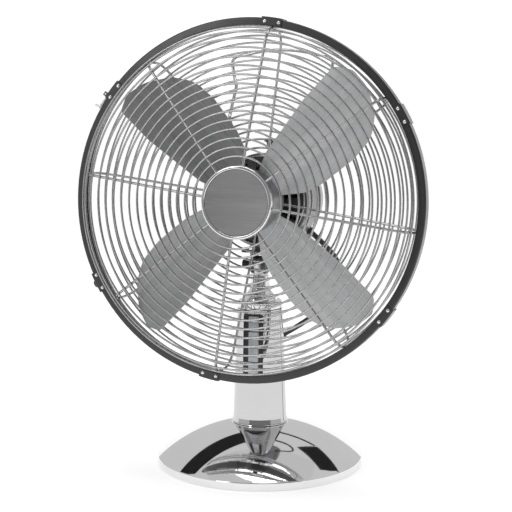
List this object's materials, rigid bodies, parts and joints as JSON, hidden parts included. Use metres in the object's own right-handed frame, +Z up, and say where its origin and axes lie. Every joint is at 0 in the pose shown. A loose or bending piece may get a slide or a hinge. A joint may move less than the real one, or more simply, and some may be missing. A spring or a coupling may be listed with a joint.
{
  "type": "desk fan",
  "caption": "Desk fan with wire guards, brushed metal blades, a dark trim ring and a chromed column on a round domed foot",
  "frame": {"origin": "centre of the stand's footprint, on the surface it stands on", "axes": "+Z up, the fan blows towards -Y, +X is at the fan's left as seen from behind it"},
  "size_m": [0.35, 0.213, 0.4503],
  "materials": {
    "chrome": "mirror chrome plate on pressed steel",
    "guard_wire": "satin plated round wire",
    "bright_metal": "bright plated small parts",
    "blade_metal": "brushed sheet, fine lengthwise grain",
    "badge_metal": "brushed face plate, no lettering",
    "ring_dark": "dark grey satin lacquer",
    "motor_dark": "dark grey metallic lacquer",
    "plastic_dark": "dark grey moulded plastic",
    "key_light": "light silver-grey plastic",
    "rubber": "black rubber",
    "steel": "plain machined steel",
    "lamination": "stacked sheet steel",
    "copper": "varnished copper windings",
    "lead_jacket": "dark flexible jacket"
  },
  "bodies": {
    "stand": {"foot_dome": "chrome", "base_plate": "steel", "base_screws": "steel", "rubber_foot": "rubber", "ballast": "lamination", "cord_gland": "rubber", "column_foot": "chrome", "column_front_shell": "chrome", "column_rear_shell": "chrome", "column_cap": "chrome", "stand_tube": "steel", "tube_nut": "steel", "neck": "chrome", "switch_bezel": "plastic_dark", "switch_block": "plastic_dark", "lead_gland": "plastic_dark", "lead_lower": "lead_jacket"},
    "key_off": {"key_0": "key_light"},
    "key_low": {"key_1": "key_light"},
    "key_medium": {"key_2": "key_light"},
    "key_high": {"key_3": "key_light"},
    "tilt_fork": {"tilt_bracket": "motor_dark", "pivot_clip": "steel", "tilt_bolt": "bright_metal"},
    "clamp_knob": {"tilt_knob": "plastic_dark"},
    "link": {"swing_link": "bright_metal"},
    "head": {"motor_front_housing": "motor_dark", "motor_rear_housing": "motor_dark", "stator_core": "lamination", "stator_windings": "copper", "shaft_bearings": "steel", "bearing_bracket": "steel", "motor_bolts": "steel", "guard_nut": "plastic_dark", "gearbox_case": "plastic_dark", "rear_guard": "guard_wire", "front_guard": "guard_wire", "trim_ring": "ring_dark", "ring_clips": "ring_dark", "clip_rivets": "bright_metal", "ring_screw": "plastic_dark", "badge_rim": "chrome", "badge_disc": "badge_metal", "badge_plate": "bright_metal", "badge_screws": "bright_metal", "carry_handle": "guard_wire", "lead_upper": "lead_jacket", "lead_grommet": "plastic_dark"},
    "latch": {"latch_lever": "bright_metal"},
    "rotor": {"motor_shaft": "steel", "rotor_core": "lamination", "fan_hub": "blade_metal", "fan_blade_1": "blade_metal", "fan_blade_2": "blade_metal", "fan_blade_3": "blade_metal", "fan_blade_4": "blade_metal", "spinner_nut": "plastic_dark"},
    "swing_gear": {"worm_wheel": "plastic_dark", "crank_disc": "bright_metal"},
    "swing_selector": {"swing_knob": "plastic_dark"}
  },
  "joints": [
    {"name": "key_off_press", "type": "slide", "parent": "stand", "child": "key_off", "axis": [0, 0.9992, -0.0396], "range_m": [0, 0.0025], "stiffness_N_per_m": 220},
    {"name": "key_low_press", "type": "slide", "parent": "stand", "child": "key_low", "axis": [0, 0.9992, -0.0396], "range_m": [0, 0.0025], "stiffness_N_per_m": 220},
    {"name": "key_medium_press", "type": "slide", "parent": "stand", "child": "key_medium", "axis": [0, 0.9992, -0.0396], "range_m": [0, 0.0025], "stiffness_N_per_m": 220},
    {"name": "key_high_press", "type": "slide", "parent": "stand", "child": "key_high", "axis": [0, 0.9992, -0.0396], "range_m": [0, 0.0025], "stiffness_N_per_m": 220},
    {"name": "tilt", "type": "hinge", "parent": "stand", "child": "tilt_fork", "pos_m": [0, 0, 0.2045], "axis": [-1, 0, 0], "range_deg": [-8, 20], "deforming": ["lead_upper", "lead_lower"]},
    {"name": "clamp_turn", "type": "hinge", "parent": "tilt_fork", "child": "clamp_knob", "pos_m": [-0.013, 0, 0.2045], "axis": [-1, 0, 0], "range_deg": [-180, 180]},
    {"name": "swing", "type": "hinge", "parent": "tilt_fork", "child": "head", "pos_m": [0, 0.00153, 0.22645], "axis": [0, 0.0698, 0.9976], "range_deg": [-40, 40], "deforming": ["lead_upper", "lead_lower"]},
    {"name": "link_turn", "type": "hinge", "parent": "tilt_fork", "child": "link", "pos_m": [-0.0146, -0.00061, 0.22018], "axis": [0, 0.0698, 0.9976], "range_deg": [-38, 38]},
    {"name": "rotor_spin", "type": "hinge", "parent": "head", "child": "rotor", "pos_m": [0.007, -0.05588, 0.27407], "axis": [0, 0.9976, -0.0698], "continuous": true},
    {"name": "gear_turn", "type": "hinge", "parent": "head", "child": "swing_gear", "pos_m": [-0.0064, 0.05395, 0.26639], "axis": [0, 0.0698, 0.9976], "continuous": true},
    {"name": "swing_select", "type": "slide", "parent": "head", "child": "swing_selector", "axis": [0, 0.0698, 0.9976], "range_m": [0, 0.006]},
    {"name": "latch_open", "type": "hinge", "parent": "head", "child": "latch", "pos_m": [-0.14001, -0.05554, 0.37571], "axis": [0, 0.9976, -0.0698], "range_deg": [0, 100]}
  ],
  "couplings": [
    {"joint": "link_turn", "follows": "swing", "ratio": 0.94},
    {"joint": "gear_turn", "follows": "rotor_spin", "ratio": 0.05}
  ]
}
